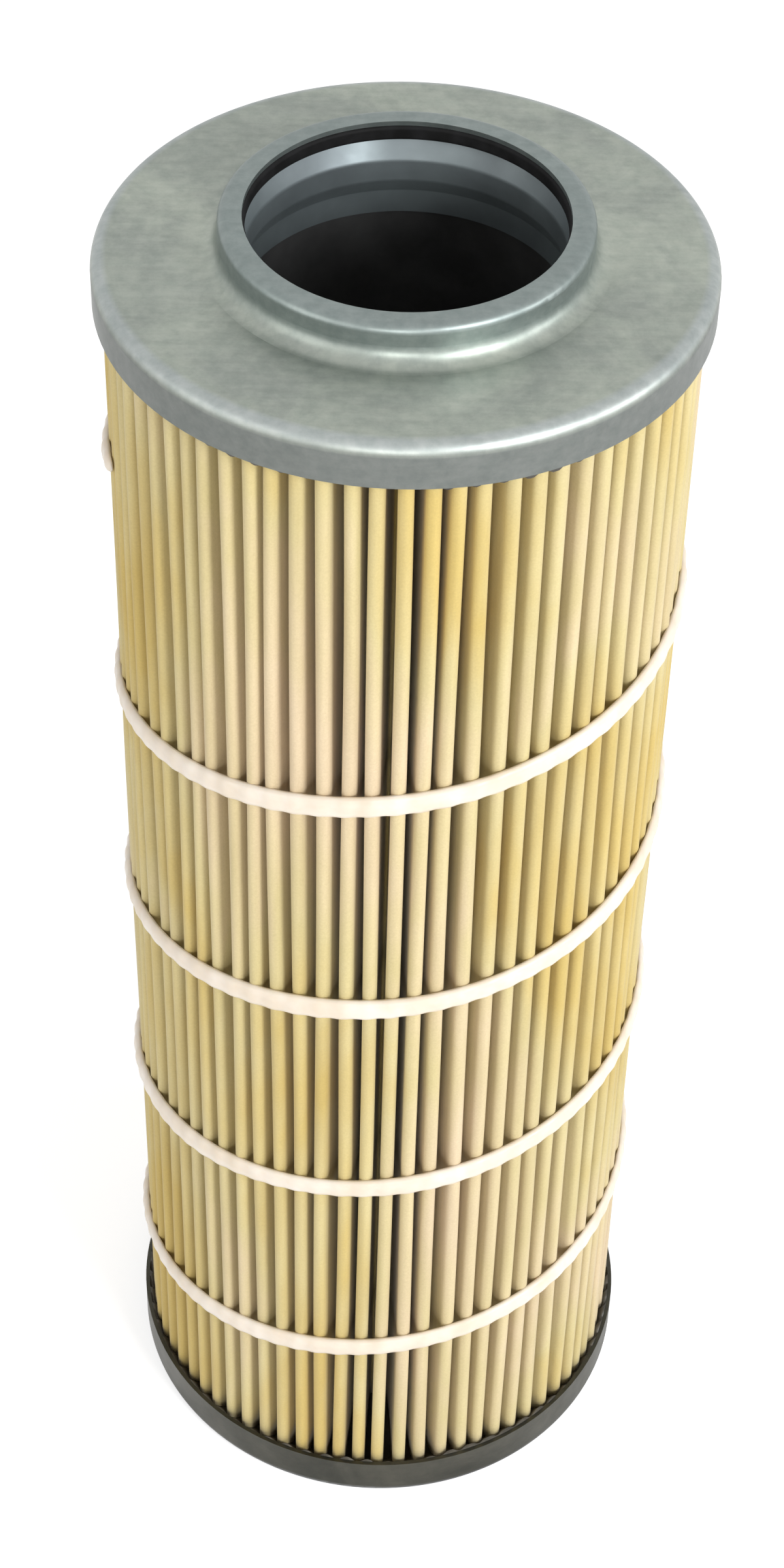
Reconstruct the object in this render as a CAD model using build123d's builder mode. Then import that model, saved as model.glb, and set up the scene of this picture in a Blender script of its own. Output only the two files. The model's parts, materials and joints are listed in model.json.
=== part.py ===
from build123d import *
import os
from math import acos, asin, atan2, cos, degrees, hypot, radians, sin, tan

# Pleated return-line filter element: a folded paper pack round a perforated core tube, potted into
# two pressed steel end caps. The upper cap has a drawn neck that holds a rubber ring, and the lower
# one is closed. The part stands on its lower cap, with the origin at the middle of that cap's
# underside and +Z up the axis. -Y is the front. All sizes are in millimetres.

# Driving dimensions
body_height = 272.0  # underside of the lower cap to the face of the upper cap's flange
sheet = 0.8  # steel thickness of both caps and of the seal retainer

pleat_radius = 48.0  # over the outer folds
pleat_count = 72
pleat_phase = 1.0  # degrees by which the pleats are turned from the front
paper = 0.6  # thickness of the filter paper
outer_fold = 0.65  # inside radius of an outer fold
inner_fold = 0.3  # inside radius of an inner fold
seam_depth = 7.0  # how deep the glue line reaches between the two ends of the paper
seam_glue = 0.5  # thickness of that glue line at the pleat tips

skirt_gap = 0.7  # between the pleat tips and the skirts
skirt_bend = 1.6  # inside bend radius between a skirt and its flange or floor
upper_skirt = 8.0  # outside height of the upper cap's skirt
lower_skirt = 10.0  # outside height of the lower cap's skirt
bedding = 3.2  # adhesive between the paper's ends and the caps

mouth_radius = 25.7  # edge of the lip at the top of the neck
neck_height = 6.6  # above the flange
neck_base_bend = 3.0  # outside bend radius where the neck leaves the flange
seal_bite = 0.4  # how far the rubber ring stands inside the mouth
seal_width = 3.5
seal_height = 2.6
seal_round = 0.6  # edge radius of the rubber ring, and inside bend radius of the lip

throat_gap = 0.2  # between the free bore of the rubber ring and the retainer's throat
throat_slope = 27.0  # degrees from the axis at which the throat opens towards the rubber ring
throat_depth = 3.9  # height of that opening, below the rubber ring
throat_length = 3.8  # of the straight stretch below it
sleeve_step = 1.0  # by which the retainer's sleeve is wider than its throat
step_length = 2.5  # along the axis, from the throat to the sleeve
sleeve_length = 4.2
retainer_bend = 0.5  # inside bend radius

core_wall = 0.7
core_clearance = 0.1  # between the core tube and what fits inside it or round it
core_hole_radius = 4.5
core_columns = 8  # holes round the tube, in each row
core_rows = 12
core_chamfer = 0.3  # of the core tube's inner edges
core_plain_end = 36.0  # from each end of the tube to the middle of its first row of holes

boss_height = 2.2  # centring boss pressed up into the lower cap, under the core tube
boss_bend = 0.8  # inside bend radius of the boss

bead_width = 4.0
bead_height = 1.3
bead_pitch = 49.3
bead_bottom = 15.6  # middle of the bead's lower end
bead_top = 235.6  # middle of the bead's upper end
bead_start_angle = 30.0  # of its lower end, in degrees from +X

# Sizes and places that follow from them
skirt_inside = pleat_radius + skirt_gap
skirt_radius = skirt_inside + sheet
neck_inside = mouth_radius - seal_bite + seal_width
neck_radius = neck_inside + sheet
neck_top = body_height + neck_height
seal_top = neck_top - sheet
retainer_face = seal_top - seal_height
retainer_underside = retainer_face - sheet
throat_inside = mouth_radius - seal_bite + throat_gap
throat_top = retainer_face - throat_depth
throat_bottom = throat_top - throat_length
sleeve_inside = throat_inside + sleeve_step
sleeve_top = throat_bottom - step_length
core_inside = sleeve_inside + sheet + core_clearance
core_radius = core_inside + core_wall
boss_radius = core_inside - core_clearance
paper_bottom = sheet + bedding
paper_top = body_height - sheet - bedding
pleat_inner_radius = core_radius + core_clearance

os.makedirs("parts", exist_ok=True)


def polar(radius, angle):
    """The point at that radius and that angle, in degrees."""
    return Vector(radius * cos(radians(angle)), radius * sin(radians(angle)))


def save(piece, name):
    """Labels a finished piece and writes its STEP file."""
    piece.part.label = name
    export_step(piece.part, f"parts/{name}.step")


# Upper end cap: skirt, flange, drawn neck and in-turned lip, pressed from one sheet
with BuildPart() as top_end_cap:
    with BuildSketch(Plane.XZ):
        with BuildLine():
            FilletPolyline(
                (skirt_radius, body_height - upper_skirt),
                (skirt_radius, body_height),
                (neck_radius, body_height),
                (neck_radius, neck_top),
                (mouth_radius, neck_top),
                radius=[skirt_bend + sheet, neck_base_bend, seal_round + sheet],
            )
            offset(amount=sheet, side=Side.LEFT)
        make_face()
    revolve(axis=Axis.Z)

# Lower end cap: skirt and floor, with a boss pressed up to centre the core tube
with BuildPart() as bottom_end_cap:
    with BuildSketch(Plane.XZ):
        with BuildLine():
            FilletPolyline(
                (skirt_radius, lower_skirt),
                (skirt_radius, 0),
                (boss_radius - sheet, 0),
                (boss_radius - sheet, boss_height),
                (0, boss_height),
                radius=[skirt_bend + sheet, boss_bend, boss_bend],
            )
            offset(amount=sheet, side=Side.RIGHT)
        make_face()
    revolve(axis=Axis.Z)

# Rubber ring in the neck, between the lip and the retainer
with BuildPart() as neck_seal:
    with BuildSketch(Plane.XZ):
        with Locations((neck_inside - seal_width / 2, seal_top - seal_height / 2)):
            RectangleRounded(seal_width, seal_height, seal_round)
    revolve(axis=Axis.Z)

# Retainer: a flange under the rubber ring, a throat, and a wider sleeve that centres the core tube
with BuildPart() as seal_retainer:
    throat_mouth = throat_inside + throat_depth * tan(radians(throat_slope))
    with BuildSketch(Plane.XZ):
        with BuildLine():
            FilletPolyline(
                (neck_inside, retainer_face),
                (throat_mouth, retainer_face),
                (throat_inside, throat_top),
                (throat_inside, throat_bottom),
                (sleeve_inside, sleeve_top),
                (sleeve_inside, sleeve_top - sleeve_length),
                radius=3 * [retainer_bend + sheet] + [retainer_bend],
            )
            offset(amount=sheet, side=Side.LEFT)
        make_face()
    revolve(axis=Axis.Z)

# Core tube: carries the load from the retainer's throat down to the lower cap, and lets the oil in
with BuildPart() as core_tube:
    throat_outside = throat_inside + sheet / cos(radians(throat_slope))
    seat = throat_top + (core_inside - throat_outside) / tan(radians(throat_slope))
    core_height = seat + core_chamfer - sheet
    row_pitch = (core_height - 2 * core_plain_end) / (core_rows - 1)
    with BuildSketch(Plane.XY.offset(sheet)):
        Circle(core_radius)
        Circle(core_inside, mode=Mode.SUBTRACT)
    extrude(amount=core_height)
    inner_edges = edges().filter_by(GeomType.CIRCLE).filter_by(lambda edge: edge.radius < core_radius)
    chamfer(inner_edges, core_chamfer)
    for column in range(2 * core_columns):
        middle = sheet + core_height / 2 + (column % 2 - 0.5) * row_pitch
        facing = polar(1, column * 180 / core_columns)
        with BuildSketch(Plane(origin=(0, 0, middle), x_dir=(0, 0, 1), z_dir=facing)):
            with GridLocations(2 * row_pitch, 0, core_rows // 2, 1):
                Circle(core_hole_radius)
        extrude(amount=core_radius + core_wall, mode=Mode.SUBTRACT)

# Filter paper: one sheet folded to and fro round the core tube, with its two ends glued together
pleat_pitch = 360 / pleat_count
outer_bend = outer_fold + paper / 2  # bend radius of the sheet's middle
inner_bend = inner_fold + paper / 2
outer_middle = polar(pleat_radius - outer_fold - paper, 0)
inner_middle = polar(pleat_inner_radius + paper + inner_fold, pleat_pitch / 2)
sheet_end = Vector(pleat_radius - outer_fold, (seam_glue + paper) / 2)


def flank_facing(start, reach):
    """Angle that a flank faces when it leaves that point at that distance and meets the inner fold."""
    span = inner_middle - start
    return degrees(atan2(span.Y, span.X) - acos((reach + inner_bend) / hypot(span.X, span.Y)))


def half_inner_fold(facing):
    """The inner fold's arc from the flank that faces that way to the fold's own middle."""
    return CenterArc(inner_middle, inner_bend, facing + 180, pleat_pitch / 2 - facing)


flank = flank_facing(outer_middle, outer_bend)
seam_flank = flank_facing(sheet_end, 0)

with BuildSketch() as pleat:
    with BuildLine():
        outer = CenterArc(outer_middle, outer_bend, 0, flank)
        inner = half_inner_fold(flank)
        Line(outer @ 1, inner @ 0)
        mirror(about=Plane.XZ)
    trace(line_width=paper)

with BuildSketch() as seam_pleat:
    with BuildLine():
        inner = half_inner_fold(seam_flank)
        Line(sheet_end, inner @ 0)
        mirror(about=Plane.XZ)
    trace(line_width=paper)

seam_plane = Plane.XY.offset(paper_bottom).rotated((0, 0, 90 + pleat_phase))

with BuildPart() as pleated_media:
    with BuildSketch(seam_plane):
        add(seam_pleat.sketch)
        with PolarLocations(0, pleat_count - 1, pleat_pitch, 360 - pleat_pitch):
            add(pleat.sketch)
    extrude(amount=paper_top - paper_bottom)

# Glue line between the two ends of the paper
with BuildPart() as media_seam:
    with BuildSketch(seam_plane):
        with BuildLine():
            glued_edge = sheet_end - polar(paper / 2, seam_flank)
            Line(glued_edge, glued_edge + polar(seam_depth, seam_flank + 90))
            mirror(about=Plane.XZ)
        make_hull()
    extrude(amount=paper_top - paper_bottom)

# Adhesive beds that the paper's ends are bonded in
with BuildPart() as bottom_potting:
    with BuildSketch(Plane.XY.offset(sheet)):
        Circle(skirt_inside)
        Circle(core_radius, mode=Mode.SUBTRACT)
    extrude(amount=bedding)
    fillet(edges().group_by(Axis.Z)[0].sort_by(SortBy.RADIUS)[-1], skirt_bend)

with BuildPart() as top_potting:
    with BuildSketch(Plane.XY.offset(paper_top)):
        Circle(skirt_inside)
        Circle(core_radius, mode=Mode.SUBTRACT)
    extrude(amount=bedding)
    fillet(edges().group_by(Axis.Z)[-1].sort_by(SortBy.RADIUS)[-1], skirt_bend)

# Bead of hot glue laid over the pleats' tips in a rising spiral, with a round blob at each end
with BuildPart() as glue_bead:
    crown_radius = (bead_width**2 / 4 + bead_height**2) / (2 * bead_height)
    crown_middle = pleat_radius + bead_height - crown_radius
    with BuildLine() as bead_path:
        spiral = Helix(
            bead_pitch,
            bead_top - bead_bottom,
            pleat_radius,
            center=(0, 0, bead_bottom),
            mode=Mode.PRIVATE,
        )
        add(spiral.rotate(Axis.Z, bead_start_angle))
    start = bead_path.line @ 0
    with BuildSketch(Plane(start, x_dir=polar(1, bead_start_angle), z_dir=bead_path.line % 0)):
        with BuildLine():
            crown = ThreePointArc((0, -bead_width / 2), (bead_height, 0), (0, bead_width / 2))
            Line(crown @ 0, crown @ 1)
        make_face()
    sweep(is_frenet=True)
    for end in (start, bead_path.line @ 1):
        outward = Vector(end.X, end.Y).normalized()
        blob = Plane(outward * crown_middle + Vector(0, 0, end.Z), z_dir=outward)
        with Locations(blob):
            Sphere(
                crown_radius,
                degrees(asin((pleat_radius - crown_middle) / crown_radius)),
                align=None,
            )

save(top_end_cap, "top_end_cap")
save(bottom_end_cap, "bottom_end_cap")
save(neck_seal, "neck_seal")
save(seal_retainer, "seal_retainer")
save(core_tube, "core_tube")
save(pleated_media, "pleated_media")
save(media_seam, "media_seam")
save(bottom_potting, "bottom_potting")
save(top_potting, "top_potting")
save(glue_bead, "glue_bead")
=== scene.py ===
import json
import math

import bpy
from mathutils import Euler, Matrix, Vector, noise

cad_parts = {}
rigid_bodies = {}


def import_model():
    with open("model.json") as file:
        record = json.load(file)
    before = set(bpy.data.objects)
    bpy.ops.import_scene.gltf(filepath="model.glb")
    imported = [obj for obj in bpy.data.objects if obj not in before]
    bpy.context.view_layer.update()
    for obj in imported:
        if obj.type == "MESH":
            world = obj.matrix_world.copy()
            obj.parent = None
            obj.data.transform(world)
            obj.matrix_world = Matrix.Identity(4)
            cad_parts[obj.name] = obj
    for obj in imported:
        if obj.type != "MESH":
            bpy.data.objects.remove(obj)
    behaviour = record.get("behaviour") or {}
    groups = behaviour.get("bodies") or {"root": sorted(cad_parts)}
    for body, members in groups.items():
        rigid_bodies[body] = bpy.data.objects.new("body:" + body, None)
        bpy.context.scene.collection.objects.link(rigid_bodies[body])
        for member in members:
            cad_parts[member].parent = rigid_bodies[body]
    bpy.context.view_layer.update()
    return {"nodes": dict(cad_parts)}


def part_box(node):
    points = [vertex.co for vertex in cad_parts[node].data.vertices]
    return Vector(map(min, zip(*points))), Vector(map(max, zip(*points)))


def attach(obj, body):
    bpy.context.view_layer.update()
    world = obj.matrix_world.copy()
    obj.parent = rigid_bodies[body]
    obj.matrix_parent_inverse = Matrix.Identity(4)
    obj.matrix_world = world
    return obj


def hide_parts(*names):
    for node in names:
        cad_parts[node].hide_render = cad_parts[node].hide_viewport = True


# The pleated filter element in plain studio light. Metres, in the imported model's frame: the origin is
# the middle of the lower cap's underside, +Z runs up the axis and -Y is the front.

for leftover in list(bpy.data.objects):
    bpy.data.objects.remove(leftover)
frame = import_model()


def radii(node):
    """Smallest and largest distance from the axis of a CAD node's vertices."""
    distances = [math.hypot(v.co.x, v.co.y) for v in frame["nodes"][node].data.vertices]
    return min(distances), max(distances)


# Sizes read from the frame
PAPER_LOW, PAPER_HIGH = (corner.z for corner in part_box("pleated_media"))
BEAD_LOW, BEAD_HIGH = (corner.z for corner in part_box("glue_bead"))
TIP_RADIUS = radii("pleated_media")[1]
CORE_RADIUS = radii("core_tube")[1]
BEAD_RADIUS = radii("glue_bead")[1]
CAP_RADIUS = radii("bottom_end_cap")[1]
LOWER_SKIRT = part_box("bottom_end_cap")[1].z
UPPER_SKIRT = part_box("top_end_cap")[0].z
SHEET_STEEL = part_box("bottom_potting")[0].z
FLANGE_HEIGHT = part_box("top_potting")[1].z + SHEET_STEEL

# Sizes of the folded paper, as in the solids
PLEATS = 72
PITCH = math.tau / PLEATS
SEAM_ANGLE = math.radians(91)
PAPER = 0.0006
OUTER_BEND = 0.00065 + PAPER / 2
INNER_BEND = 0.0003 + PAPER / 2
SEAM_GLUE = 0.0005
SEAM_DEPTH = 0.007
OUTER_MIDDLE = Vector((TIP_RADIUS - OUTER_BEND - PAPER / 2, 0))
INNER_RADIUS = CORE_RADIUS + 0.0001 + PAPER / 2 + INNER_BEND
INNER_MIDDLE = Vector((INNER_RADIUS * math.cos(PITCH / 2), INNER_RADIUS * math.sin(PITCH / 2)))
SHEET_END = Vector((TIP_RADIUS - 0.00065, (SEAM_GLUE + PAPER) / 2))

# The glue bead's spiral
BEAD_PITCH = 0.0493
BEAD_WIDTH = 0.0044
BEAD_START = math.radians(30)
BEAD_STEPS = 6  # cross-sections of the bead to a pleat
BEAD_ENDS = 9  # cross-sections over which the bead's ends round off


# ---------------------------------------------------------------- mesh helpers


def wobble(seed, across, along=0.0):
    """Smooth noise between about -1 and 1 that is the same in every run."""
    return 2 * noise.noise(Vector((seed * 17.3, across, along)))


def polar(radius, angle, height=0.0):
    return Vector((radius * math.cos(angle), radius * math.sin(angle), height))


def add_piece(name, points, faces, material, nodes):
    """A smooth-shaded mesh piece that stands for those CAD nodes and takes that material slot."""
    mesh = bpy.data.meshes.new(name)
    mesh.from_pydata(points, [], faces)
    mesh.validate()
    mesh.polygons.foreach_set("use_smooth", [True] * len(mesh.polygons))
    piece = bpy.data.objects.new(name, mesh)
    bpy.context.scene.collection.objects.link(piece)
    mesh.materials.append(material)
    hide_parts(*nodes)
    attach(piece, "root")
    return piece


def grid_faces(rows, columns, close_rows=False, close_columns=False):
    """Quads between the points of a grid, stored row by row."""
    faces = []
    for row in range(rows if close_rows else rows - 1):
        below = row * columns
        above = (row + 1) % rows * columns
        for column in range(columns if close_columns else columns - 1):
            right = (column + 1) % columns
            faces.append((below + column, below + right, above + right, above + column))
    return faces


# ---------------------------------------------------------------- folded paper


def flank_facing(start, reach):
    """Angle that a flank faces when it leaves start at that distance and meets the inner fold."""
    span = INNER_MIDDLE - start
    return math.atan2(span.y, span.x) - math.acos((reach + INNER_BEND) / span.length)


def half_pleat(seam=False):
    """Points and facings of the sheet's middle from a pleat's tip to the middle of the next valley."""
    if seam:
        facing = flank_facing(SHEET_END, 0)
        middles = [(SHEET_END, facing)]
        start = SHEET_END
    else:
        facing = flank_facing(OUTER_MIDDLE, OUTER_BEND)
        steps = 4
        middles = []
        for step in range(steps + 1):
            turn = facing * step / steps
            middles.append((OUTER_MIDDLE + OUTER_BEND * Vector((math.cos(turn), math.sin(turn))), turn))
        start = middles[-1][0]
    end = INNER_MIDDLE - INNER_BEND * Vector((math.cos(facing), math.sin(facing)))
    for share in (0.25, 0.5, 0.75):
        middles.append((start.lerp(end, share), facing))
    steps = 2
    for step in range(steps + 1):
        turn = facing + (PITCH / 2 - facing) * step / steps
        middles.append((INNER_MIDDLE - INNER_BEND * Vector((math.cos(turn), math.sin(turn))), turn))
    return middles


def sheet_middle():
    """The whole sheet's middle line: pleat number, valley number, side, point and facing."""
    line = []
    for pleat in range(PLEATS + 1):
        half = half_pleat(seam=pleat % PLEATS == 0)
        if pleat > 0:
            for point, facing in reversed(half):
                line.append((pleat, pleat - 1, Vector((point.x, -point.y)), -facing))
            if pleat < PLEATS:
                line.pop()
        if pleat < PLEATS:
            for point, facing in half[:-1]:
                line.append((pleat, pleat, point, facing))
    return line


def lean(pleat, height):
    """How far a pleat's tip stands aside at a height: neighbours bunch up, and each one wavers."""
    pleat %= PLEATS
    bunch = 0.00055 * wobble(1, 4.5 * math.cos(pleat * PITCH), 4.5 * math.sin(pleat * PITCH) + 4 * height)
    own = 0.0003 * wobble(2, pleat * 3.7, 9 * height)
    return bunch + own


def drift(valley, height):
    """How far a valley's fold stands aside at a height."""
    return 0.0002 * wobble(3, valley * 2.9, 7 * height)


def paper_point(place, shift, height):
    """A point of the sheet's face, with its pleat's own lean, bow and droop."""
    pleat, valley, middle, facing = place
    share = (middle.x - INNER_RADIUS) / (OUTER_MIDDLE.x - INNER_RADIUS)
    share = min(max(share, 0), 1)
    aside = lean(pleat, height) * share + drift(valley, height) * (1 - share)
    aside += 0.00025 * wobble(4, pleat * 2.3, 12 * height) * math.sin(math.pi * share)
    inward = 0.00018 * (1 + wobble(5, pleat * 1.9, 10 * height)) * share
    x = middle.x + shift * math.cos(facing) - inward
    y = middle.y + shift * math.sin(facing) + aside
    angle = SEAM_ANGLE + pleat * PITCH
    return polar(x, angle, height) + polar(y, angle + math.pi / 2)


def build_paper(material):
    """One folded sheet: both faces, joined along the two ends and along the top and bottom edges."""
    line = sheet_middle()
    outline = [(place, PAPER / 2) for place in line]
    outline += [(place, -PAPER / 2) for place in reversed(line)]
    levels = 34
    points = []
    for level in range(levels):
        height = PAPER_LOW + (PAPER_HIGH - PAPER_LOW) * level / (levels - 1)
        points += [paper_point(place, shift, height) for place, shift in outline]
    around = len(outline)
    faces = grid_faces(levels, around, close_columns=True)
    for base in (0, (levels - 1) * around):
        for step in range(len(line) - 1):
            edge = (base + step, base + around - 1 - step, base + around - 2 - step, base + step + 1)
            faces.append(edge if base == 0 else edge[::-1])
    return add_piece("pleated_paper", points, faces, material, ["pleated_media"])


# ---------------------------------------------------------------- glue


def build_seam(material):
    """Glue line between the sheet's two ends, squeezed out a little at the pleat's tip."""
    levels = 60
    section = 8
    points = []
    facing = flank_facing(SHEET_END, 0)
    for level in range(levels):
        height = PAPER_LOW + (PAPER_HIGH - PAPER_LOW) * level / (levels - 1)
        squeeze = 0.00025 + 0.0003 * abs(wobble(6, 0, 60 * height))
        side = lean(0, height)
        for corner in range(section):
            turn = math.tau * corner / section
            outer = math.cos(turn) > 0
            reach = squeeze + 0.0004 if outer else SEAM_DEPTH
            x = SHEET_END.x + reach * math.cos(turn)
            y = (SEAM_GLUE / 2 + (squeeze if outer else 0)) * math.sin(turn) + side
            points.append(polar(x, SEAM_ANGLE, height) + polar(y, SEAM_ANGLE + math.pi / 2))
    faces = grid_faces(levels, section, close_columns=True)
    faces.append(tuple(reversed(range(section))))
    faces.append(tuple(range((levels - 1) * section, levels * section)))
    return add_piece("seam_glue", points, faces, material, ["media_seam"])


def build_bead(material):
    """Hot glue laid over the tips: it sags between the pleats, and its width and crown vary."""
    half = BEAD_WIDTH / 2
    low = BEAD_LOW + half
    rise = BEAD_HIGH - half - low
    turns = rise / BEAD_PITCH
    steps = int(turns * PLEATS * BEAD_STEPS)
    section = 14
    points = []
    for step in range(steps + 1):
        share = step / steps
        angle = BEAD_START + math.tau * turns * share
        height = low + rise * share
        on_tip = math.cos((angle - SEAM_ANGLE) * PLEATS)
        from_end = min(step, steps - step, BEAD_ENDS) / BEAD_ENDS
        fade = math.sqrt(1 - (1 - from_end) ** 2)
        width = half * fade * (1 + 0.03 * on_tip + 0.09 * wobble(7, 0, 40 * share))
        crown = (BEAD_RADIUS - TIP_RADIUS) * (0.88 + 0.05 * on_tip + 0.1 * wobble(8, 0, 60 * share)) * fade
        sag = 0.00025 * (1 - on_tip) / 2 + 0.00012
        middle = height + 0.0004 * wobble(9, 0, 12 * share)
        for corner in range(section):
            turn = math.tau * corner / section
            up = math.sin(turn)
            out = math.cos(turn)
            thick = crown * abs(out) ** 0.8 if out > 0 else -(sag * fade + 0.0001) * abs(out) ** 0.6
            droop = 0.0001 * (1 - on_tip) / 2 * (1 - abs(up))
            radius = min(TIP_RADIUS + thick - droop * (out > 0), BEAD_RADIUS)
            points.append(polar(radius, angle, middle + width * math.copysign(abs(up) ** 0.85, up)))
    faces = grid_faces(steps + 1, section, close_columns=True)
    faces.append(tuple(reversed(range(section))))
    faces.append(tuple(range(steps * section, (steps + 1) * section)))
    return add_piece("hot_glue_bead", points, faces, material, ["glue_bead"])


def build_potting(name, node, upper, material):
    """Adhesive bed that wets the skirt and creeps up between the pleats."""
    low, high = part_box(node)
    skirt_inside = high.x
    bed = low.z if upper else high.z
    back = high.z if upper else low.z
    sign = -1 if upper else 1
    rim = UPPER_SKIRT if upper else LOWER_SKIRT
    depth = abs(rim - bed)
    radii_out = [CORE_RADIUS + (skirt_inside - CORE_RADIUS) * ring / 16 for ring in range(17)]
    around = PLEATS * 8
    points = []
    for radius in radii_out:
        for spoke in range(around):
            angle = SEAM_ANGLE + math.tau * spoke / around
            in_gap = (1 - math.cos((angle - SEAM_ANGLE) * PLEATS)) / 2
            near_rim = max(0, (radius - TIP_RADIUS + 0.004) / (skirt_inside - TIP_RADIUS + 0.004))
            ragged = 1 + 0.3 * wobble(10, 3 * math.cos(angle) + 9 * upper, 3 * math.sin(angle))
            creep = depth * (0.25 + 0.85 * near_rim**1.5 * (0.75 + 0.25 * in_gap) * ragged)
            points.append(polar(radius, angle, bed + sign * min(creep, depth + 0.0012)))
    for radius in reversed(radii_out):
        for spoke in range(around):
            points.append(polar(radius, SEAM_ANGLE + math.tau * spoke / around, back))
    faces = grid_faces(2 * len(radii_out), around, close_rows=True, close_columns=True)
    if not upper:
        faces = [face[::-1] for face in faces]
    return add_piece(name, points, faces, material, [node])


# ---------------------------------------------------------------- materials


class Recipe:
    """A material with a Principled shader, and short calls for the nodes that feed it."""

    def __init__(self, name, **sockets):
        self.material = bpy.data.materials.new(name)
        self.material.use_nodes = True
        self.nodes = self.material.node_tree.nodes
        self.links = self.material.node_tree.links
        self.shader = self.nodes["Principled BSDF"]
        for socket, value in sockets.items():
            self.shader.inputs[socket.replace("_", " ")].default_value = value
        self.place = self.nodes.new("ShaderNodeTexCoord").outputs["Object"]
        self.normal = None

    def feed(self, socket, value):
        """Links an output to an input, or sets the input to a plain value."""
        if isinstance(value, bpy.types.NodeSocket):
            self.links.new(value, socket)
        else:
            socket.default_value = value

    def stretched(self, scale):
        """The object's coordinates, scaled along each axis."""
        mapping = self.nodes.new("ShaderNodeMapping")
        mapping.inputs["Scale"].default_value = scale
        self.links.new(self.place, mapping.inputs["Vector"])
        return mapping.outputs["Vector"]

    def noise(self, scale, detail=4.0, roughness=0.55, stretch=None, distortion=0.0):
        """Noise with that many waves to the metre."""
        texture = self.nodes.new("ShaderNodeTexNoise")
        texture.inputs["Scale"].default_value = scale
        texture.inputs["Detail"].default_value = detail
        texture.inputs["Roughness"].default_value = roughness
        texture.inputs["Distortion"].default_value = distortion
        self.links.new(self.stretched(stretch) if stretch else self.place, texture.inputs["Vector"])
        return texture.outputs["Fac"]

    def ramp(self, value, *stops):
        """Turns a value into the colours at its stops, each (position, colour)."""
        ramp = self.nodes.new("ShaderNodeValToRGB")
        elements = ramp.color_ramp.elements
        while len(elements) < len(stops):
            elements.new(0.5)
        for element, (position, colour) in zip(elements, stops):
            element.position = position
            element.color = colour if len(colour) == 4 else (*colour, 1)
        self.links.new(value, ramp.inputs["Fac"])
        return ramp.outputs["Color"]

    def span(self, value, low, high, to_low=0.0, to_high=1.0):
        """Maps a value from one range to another, and holds it there."""
        node = self.nodes.new("ShaderNodeMapRange")
        for socket, number in zip(("From Min", "From Max", "To Min", "To Max"), (low, high, to_low, to_high)):
            node.inputs[socket].default_value = number
        self.links.new(value, node.inputs["Value"])
        return node.outputs["Result"]

    def mix(self, share, first, second, mode="MIX"):
        node = self.nodes.new("ShaderNodeMix")
        node.data_type = "RGBA"
        node.blend_type = mode
        self.feed(node.inputs["Factor"], share)
        self.feed(node.inputs["A"], first if not isinstance(first, tuple) else (*first, 1))
        self.feed(node.inputs["B"], second if not isinstance(second, tuple) else (*second, 1))
        return node.outputs["Result"]

    def bump(self, height, strength, depth):
        """Adds relief of that depth in metres on top of what is there."""
        node = self.nodes.new("ShaderNodeBump")
        node.inputs["Strength"].default_value = strength
        node.inputs["Distance"].default_value = depth
        self.links.new(height, node.inputs["Height"])
        if self.normal:
            self.links.new(self.normal, node.inputs["Normal"])
        self.normal = node.outputs["Normal"]

    def done(self, colour=None, roughness=None):
        if colour is not None:
            self.feed(self.shader.inputs["Base Color"], colour)
        if roughness is not None:
            self.feed(self.shader.inputs["Roughness"], roughness)
        if self.normal:
            self.links.new(self.normal, self.shader.inputs["Normal"])
        return self.material


def height_of(recipe):
    split = recipe.nodes.new("ShaderNodeSeparateXYZ")
    recipe.links.new(recipe.place, split.inputs["Vector"])
    return split.outputs["Z"]


def radius_of(recipe):
    length = recipe.nodes.new("ShaderNodeVectorMath")
    length.operation = "LENGTH"
    recipe.links.new(recipe.stretched((1, 1, 0)), length.inputs[0])
    return length.outputs["Value"]


def painted_bend_highlight(recipe, height):
    """How much painted highlight lies on the upper cap's outer bend, from none to 0.6."""
    on_bend = recipe.span(radius_of(recipe), CAP_RADIUS - 0.0026, CAP_RADIUS - 0.0016)
    on_flange = recipe.span(height, FLANGE_HEIGHT - 0.0019, FLANGE_HEIGHT - 0.0009)
    return recipe.mix(on_bend, (0, 0, 0), recipe.ramp(on_flange, (0, (0, 0, 0)), (1, (0.6, 0.6, 0.6))))


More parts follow.
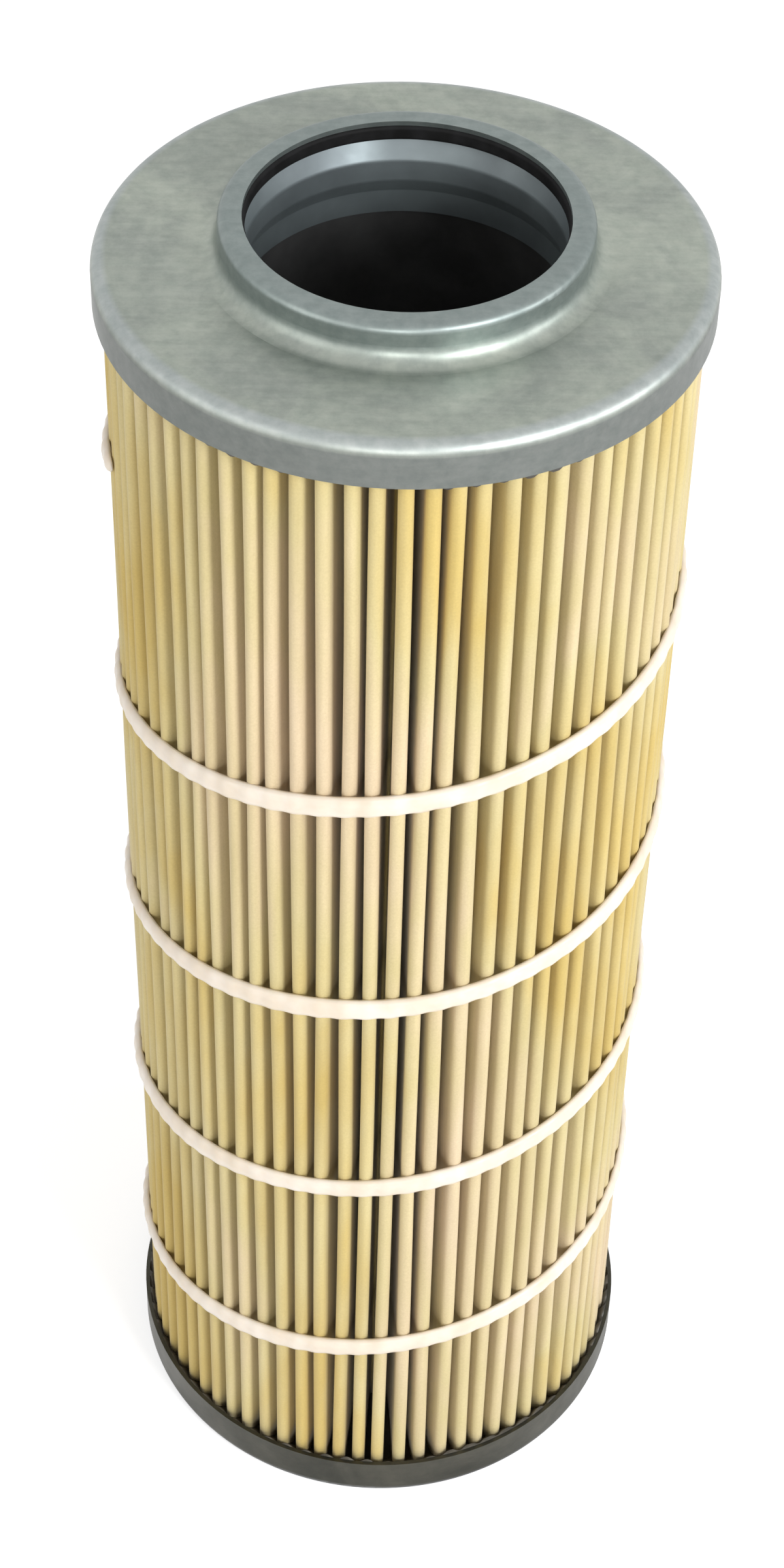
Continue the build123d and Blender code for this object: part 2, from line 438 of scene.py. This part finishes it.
def steel(name, bright, dark, painted_bands):
    """Pressed zinc-coated sheet: cloudy stains, faint rolling grain, fine scratches, a painted highlight on
    the bend.

    Each painted band of shade or reflection is the height where its colour begins, the height where it is
    full, and the colour.
    """
    recipe = Recipe(name, Metallic=0.85)
    clouds = recipe.noise(46, detail=6, roughness=0.62, distortion=0.8)
    grain = recipe.noise(900, detail=3, stretch=(0.12, 1, 1))
    speckle = recipe.noise(420, detail=4, roughness=0.65)
    scratches = recipe.noise(260, detail=2, stretch=(0.04, 1, 1), distortion=0.3)
    colour = recipe.ramp(clouds, (0.36, dark), (0.6, bright))
    height = height_of(recipe)
    # Bands of painted shade or painted reflection, laid on by height.
    for begins, full, tone in painted_bands:
        colour = recipe.mix(recipe.span(height, begins, full), colour, tone)
    # Painted highlight: the upper cap's outer bend is lightened to stand in for the lamps' glint on it.
    colour = recipe.mix(painted_bend_highlight(recipe, height), colour, (0.42, 0.455, 0.475))
    mottle = recipe.ramp(speckle, (0.35, (0.84, 0.86, 0.84)), (0.65, (1.1, 1.08, 1.06)))
    colour = recipe.mix(0.7, colour, mottle, "MULTIPLY")
    fine = recipe.ramp(grain, (0.3, (0.88, 0.88, 0.88)), (0.7, (1.08, 1.08, 1.08)))
    colour = recipe.mix(0.5, colour, fine, "MULTIPLY")
    roughness = recipe.span(recipe.noise(60, detail=6), 0.3, 0.7, 0.36, 0.5)
    recipe.bump(grain, 0.1, 0.00005)
    recipe.bump(speckle, 0.12, 0.00008)
    recipe.bump(recipe.span(scratches, 0.62, 0.7), 0.15, 0.00004)
    recipe.bump(recipe.noise(22, detail=2), 0.25, 0.0004)
    return recipe.done(colour, roughness)


def drawn_steel(name, bright, dark):
    """Oiled drawn steel: faint lines along the draw, darker stains, and patches of oil."""
    recipe = Recipe(name, Metallic=0.6)
    lines = recipe.noise(700, detail=3, stretch=(0.1, 0.1, 1))
    colour = recipe.ramp(recipe.noise(70, detail=5), (0.35, dark), (0.65, bright))
    roughness = recipe.span(recipe.noise(90, detail=4), 0.3, 0.7, 0.38, 0.54)
    recipe.bump(lines, 0.08, 0.00004)
    return recipe.done(colour, roughness)


def rubber():
    recipe = Recipe("seal_rubber_black", Specular_IOR_Level=0.15)
    dust = recipe.noise(240, detail=6)
    colour = recipe.ramp(dust, (0.4, (0.005, 0.005, 0.005)), (0.75, (0.014, 0.014, 0.015)))
    recipe.bump(recipe.noise(2500, detail=3), 0.2, 0.00003)
    return recipe.done(colour, recipe.span(dust, 0.3, 0.7, 0.6, 0.75))


def paper():
    """Resin-treated filter paper: fibres, pores, and yellow to tan patches where the resin soaked in."""
    recipe = Recipe("filter_paper_resin", Roughness=0.85)
    recipe.shader.inputs["Sheen Weight"].default_value = 0.15
    patches = recipe.noise(28, detail=4, stretch=(1, 1, 0.35), distortion=0.4)
    streaks = recipe.noise(420, detail=4, stretch=(1, 1, 0.06))
    fibres = recipe.noise(2600, detail=5, roughness=0.7)
    golden = (0.57, 0.43, 0.14)
    tan = (0.6, 0.51, 0.26)
    pinkish = (0.67, 0.54, 0.36)
    colour = recipe.ramp(patches, (0.38, golden), (0.52, tan), (0.68, pinkish))
    tone = recipe.ramp(streaks, (0.3, (0.86, 0.84, 0.8)), (0.7, (1.04, 1.04, 1.04)))
    colour = recipe.mix(0.8, colour, tone, "MULTIPLY")
    speck = recipe.ramp(fibres, (0.35, (0.85, 0.83, 0.78)), (0.65, (1.05, 1.05, 1.05)))
    colour = recipe.mix(0.5, colour, speck, "MULTIPLY")
    recipe.bump(recipe.noise(700, detail=3, stretch=(1, 1, 0.4)), 0.35, 0.0001)
    recipe.bump(fibres, 0.4, 0.00005)
    return recipe.done(colour, recipe.span(fibres, 0.3, 0.7, 0.78, 0.92))


def hot_glue():
    """Milky hot glue, a little translucent, with a soft skin."""
    recipe = Recipe("hot_glue_milky", Subsurface_Weight=0.35, Subsurface_Scale=0.002)
    recipe.shader.inputs["Subsurface Radius"].default_value = (1.0, 0.8, 0.6)
    cloud = recipe.noise(120, detail=4)
    colour = recipe.ramp(cloud, (0.35, (0.72, 0.62, 0.5)), (0.65, (0.8, 0.72, 0.63)))
    recipe.bump(recipe.noise(420, detail=3), 0.3, 0.00015)
    return recipe.done(colour, recipe.span(recipe.noise(300), 0.3, 0.7, 0.28, 0.45))


def potting():
    """Dark adhesive with a glossy skin and dust in it."""
    recipe = Recipe("potting_adhesive")
    cloud = recipe.noise(160, detail=5)
    colour = recipe.ramp(cloud, (0.35, (0.05, 0.045, 0.035)), (0.7, (0.11, 0.095, 0.07)))
    recipe.bump(recipe.noise(500, detail=4), 0.4, 0.0002)
    return recipe.done(colour, recipe.span(cloud, 0.3, 0.7, 0.3, 0.5))


def dress(node, material):
    """Gives a CAD node that material in place of its plain one."""
    for slot in frame["nodes"][node].material_slots:
        slot.link = "OBJECT"
        slot.material = material


# ---------------------------------------------------------------- stage, light and camera


def white_to_the_eye(tree, plain, white):
    """Mixes two shaders so that what the camera sees, straight or reflected, is the white one."""
    path = tree.nodes.new("ShaderNodeLightPath")
    share = path.outputs["Is Camera Ray"]
    for ray in ("Is Glossy Ray", "Is Transmission Ray"):
        larger = tree.nodes.new("ShaderNodeMath")
        larger.operation = "MAXIMUM"
        tree.links.new(share, larger.inputs[0])
        tree.links.new(path.outputs[ray], larger.inputs[1])
        share = larger.outputs[0]
    mixed = tree.nodes.new("ShaderNodeMixShader")
    tree.links.new(share, mixed.inputs["Fac"])
    tree.links.new(plain, mixed.inputs[1])
    tree.links.new(white, mixed.inputs[2])
    return mixed.outputs[0]


def build_world(ambient):
    world = bpy.data.worlds.new("studio")
    bpy.context.scene.world = world
    world.use_nodes = True
    tree = world.node_tree
    plain = tree.nodes["Background"]
    plain.inputs["Color"].default_value = (1, 1, 1, 1)
    plain.inputs["Strength"].default_value = ambient
    white = tree.nodes.new("ShaderNodeBackground")
    white.inputs["Strength"].default_value = 1.0
    white.inputs["Color"].default_value = (1, 1, 1, 1)
    both = white_to_the_eye(tree, plain.outputs[0], white.outputs[0])
    tree.links.new(both, tree.nodes["World Output"].inputs["Surface"])


def build_floor():
    """A pale floor that keeps the shadow and reads as white where it is lit."""
    size = 4.0
    mesh = bpy.data.meshes.new("floor")
    below = -0.0001
    corners = [(-size, -size, below), (size, -size, below), (size, size, below), (-size, size, below)]
    mesh.from_pydata(corners, [], [(0, 1, 2, 3)])
    floor = bpy.data.objects.new("floor", mesh)
    bpy.context.scene.collection.objects.link(floor)
    material = bpy.data.materials.new("floor_white")
    material.use_nodes = True
    tree = material.node_tree
    diffuse = tree.nodes.new("ShaderNodeBsdfDiffuse")
    diffuse.inputs["Color"].default_value = (0.82, 0.82, 0.82, 1)
    glow = tree.nodes.new("ShaderNodeEmission")
    glow.inputs["Strength"].default_value = 0.5
    lifted = tree.nodes.new("ShaderNodeAddShader")
    tree.links.new(diffuse.outputs[0], lifted.inputs[0])
    tree.links.new(glow.outputs[0], lifted.inputs[1])
    both = white_to_the_eye(tree, diffuse.outputs[0], lifted.outputs[0])
    tree.links.new(both, tree.nodes["Material Output"].inputs["Surface"])
    tree.nodes.remove(tree.nodes["Principled BSDF"])
    mesh.materials.append(material)


def add_lamp(name, place, target, size, power, colour=(1, 1, 1)):
    lamp = bpy.data.lights.new(name, "AREA")
    lamp.shape = "DISK"
    lamp.size = size
    lamp.energy = power
    lamp.color = colour
    holder = bpy.data.objects.new(name, lamp)
    holder.location = place
    holder.rotation_euler = (Vector(target) - Vector(place)).to_track_quat("-Z", "Y").to_euler()
    bpy.context.scene.collection.objects.link(holder)


def build_camera():
    """Looks down on the element from the front, at the height and distance of the picture."""
    data = bpy.data.cameras.new("camera")
    data.lens = 74.5
    data.sensor_width = 36
    data.clip_start = 0.01
    camera = bpy.data.objects.new("camera", data)
    camera.location = (0, -0.4209, 0.5681)
    pitch = Euler((math.radians(90 - 44.5), 0, 0)).to_matrix()
    roll = Matrix.Rotation(math.radians(1.54), 3, "Z")
    camera.rotation_euler = (pitch @ roll).to_euler()
    bpy.context.scene.collection.objects.link(camera)
    bpy.context.scene.camera = camera


# ---------------------------------------------------------------- the part

glue = hot_glue()
build_paper(paper())
build_seam(glue)
build_bead(glue)
adhesive = potting()
build_potting("lower_adhesive", "bottom_potting", False, adhesive)
build_potting("upper_adhesive", "top_potting", True, adhesive)

# Painted shade: the upper cap's skirt and the side of its neck are darker than the flange, standing in for
# the light falling less on them.
SKIRT_PAINTED_SHADE = (FLANGE_HEIGHT - 0.001, FLANGE_HEIGHT - 0.0024, (0.162, 0.175, 0.168))
NECK_PAINTED_SHADE = (FLANGE_HEIGHT + 0.0004, FLANGE_HEIGHT + 0.003, (0.25, 0.29, 0.285))
# Painted reflection: the lower cap's foot is lighter and bluer, as if lit from the floor.
FOOT_PAINTED_REFLECTION = (0.0024, 0.0008, (0.12, 0.125, 0.14))
upper_steel = steel("upper_cap_steel", (0.4, 0.435, 0.385), (0.31, 0.34, 0.31), [SKIRT_PAINTED_SHADE, NECK_PAINTED_SHADE])
# Painted shade: the lower cap is a much darker copy of the upper cap's steel, standing in for the shade it
# sits in.
lower_steel_painted_shade = steel("lower_cap_steel_painted_shade", (0.07, 0.068, 0.055), (0.04, 0.04, 0.032), [FOOT_PAINTED_REFLECTION])
dress("top_end_cap", upper_steel)
dress("bottom_end_cap", lower_steel_painted_shade)
dress("seal_retainer", drawn_steel("retainer_steel", (0.2, 0.235, 0.245), (0.15, 0.175, 0.185)))
# Painted shade: the core tube is near black so that the deep bore reads dark.
dress("core_tube", drawn_steel("core_tube_steel_painted_shade", (0.12, 0.12, 0.12), (0.07, 0.07, 0.07)))
dress("neck_seal", rubber())

build_world(0.55)
build_floor()
add_lamp("key", (0.68, -0.81, 0.68), (0, 0, 0.16), 0.45, 8.5, (0.98, 0.99, 1.0))
add_lamp("fill", (-0.9, -0.6, 0.5), (0, 0, 0.12), 0.9, 2.7, (1.0, 0.97, 0.93))
add_lamp("side", (1.0, -0.2, 0.42), (0, 0, 0.14), 0.4, 2.2, (1.0, 1.0, 1.0))
add_lamp("front", (-0.08, -1.05, 0.5), (0, 0, 0.13), 0.35, 2.4, (1.0, 0.99, 0.97))
build_camera()
bpy.context.scene.view_settings.view_transform = "Standard"
